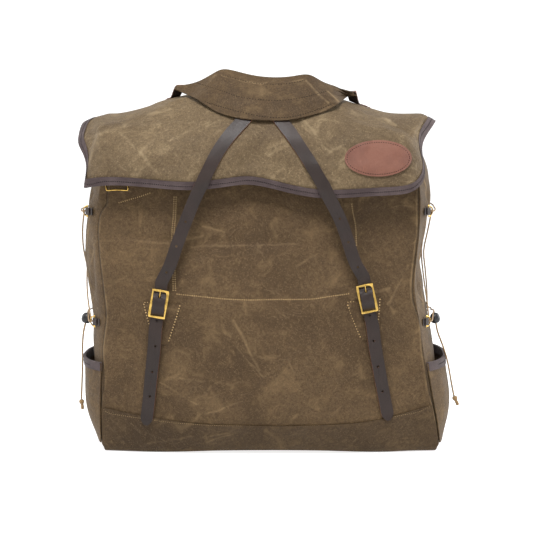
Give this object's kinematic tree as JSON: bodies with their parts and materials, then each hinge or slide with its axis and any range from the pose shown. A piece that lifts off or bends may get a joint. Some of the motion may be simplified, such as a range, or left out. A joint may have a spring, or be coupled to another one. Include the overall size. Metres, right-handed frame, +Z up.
{
  "type": "canoe pack",
  "caption": "Wide waxed-canvas canoe pack with a draped, bound lid, two long buckled leather straps, side pockets, laced sides, a tumpline and padded shoulder straps.",
  "frame": {"origin": "on the floor under the middle of the base", "axes": "+Z up, the buckled front faces -Y, +X to the right seen from the front"},
  "size_m": [0.6918, 0.3324, 0.676],
  "materials": {
    "canvas": "waxed canvas, matt",
    "boot_canvas": "waxed canvas, matt",
    "tape": "matt tape",
    "leather": "oiled, soft sheen",
    "patch_leather": "matt",
    "brass": "polished",
    "cord": "waxed cord",
    "black_plastic": "matt"
  },
  "bodies": {
    "root": {"body_shell": "canvas", "lid": "canvas", "side_pocket_left": "canvas", "side_pocket_right": "canvas", "tumpline_band": "canvas", "shoulder_strap_left": "canvas", "shoulder_strap_right": "canvas", "base_boot": "boot_canvas", "vee_patch_left": "boot_canvas", "vee_patch_right": "boot_canvas", "lid_binding": "tape", "pocket_binding_left": "tape", "pocket_binding_right": "tape", "closure_strap_left": "leather", "closure_strap_right": "leather", "buckle_chape_left": "leather", "buckle_chape_right": "leather", "tumpline_tail_left": "leather", "tumpline_tail_right": "leather", "lid_loop_tab": "leather", "shoulder_lower_left": "leather", "shoulder_lower_right": "leather", "shoulder_anchor_left": "leather", "shoulder_anchor_right": "leather", "ring_tab_front_upper_left": "leather", "ring_tab_front_upper_right": "leather", "ring_tab_front_lower_left": "leather", "ring_tab_front_lower_right": "leather", "ring_tab_rear_upper_left": "leather", "ring_tab_rear_upper_right": "leather", "ring_tab_rear_lower_left": "leather", "ring_tab_rear_lower_right": "leather", "leather_patch": "patch_leather", "buckle_frame_left": "brass", "buckle_frame_right": "brass", "buckle_prong_left": "brass", "buckle_prong_right": "brass", "lid_loop": "brass", "d_ring_front_upper_left": "brass", "d_ring_front_upper_right": "brass", "d_ring_front_lower_left": "brass", "d_ring_front_lower_right": "brass", "d_ring_rear_upper_left": "brass", "d_ring_rear_upper_right": "brass", "d_ring_rear_lower_left": "brass", "d_ring_rear_lower_right": "brass", "side_lacing_left": "cord", "side_lacing_right": "cord", "lacing_tail_left_a": "cord", "lacing_tail_left_b": "cord", "lacing_tail_right_a": "cord", "lacing_tail_right_b": "cord", "lacing_knot_left": "cord", "lacing_knot_right": "cord", "cord_lock_left": "black_plastic", "cord_lock_right": "black_plastic"}
  },
  "joints": []
}
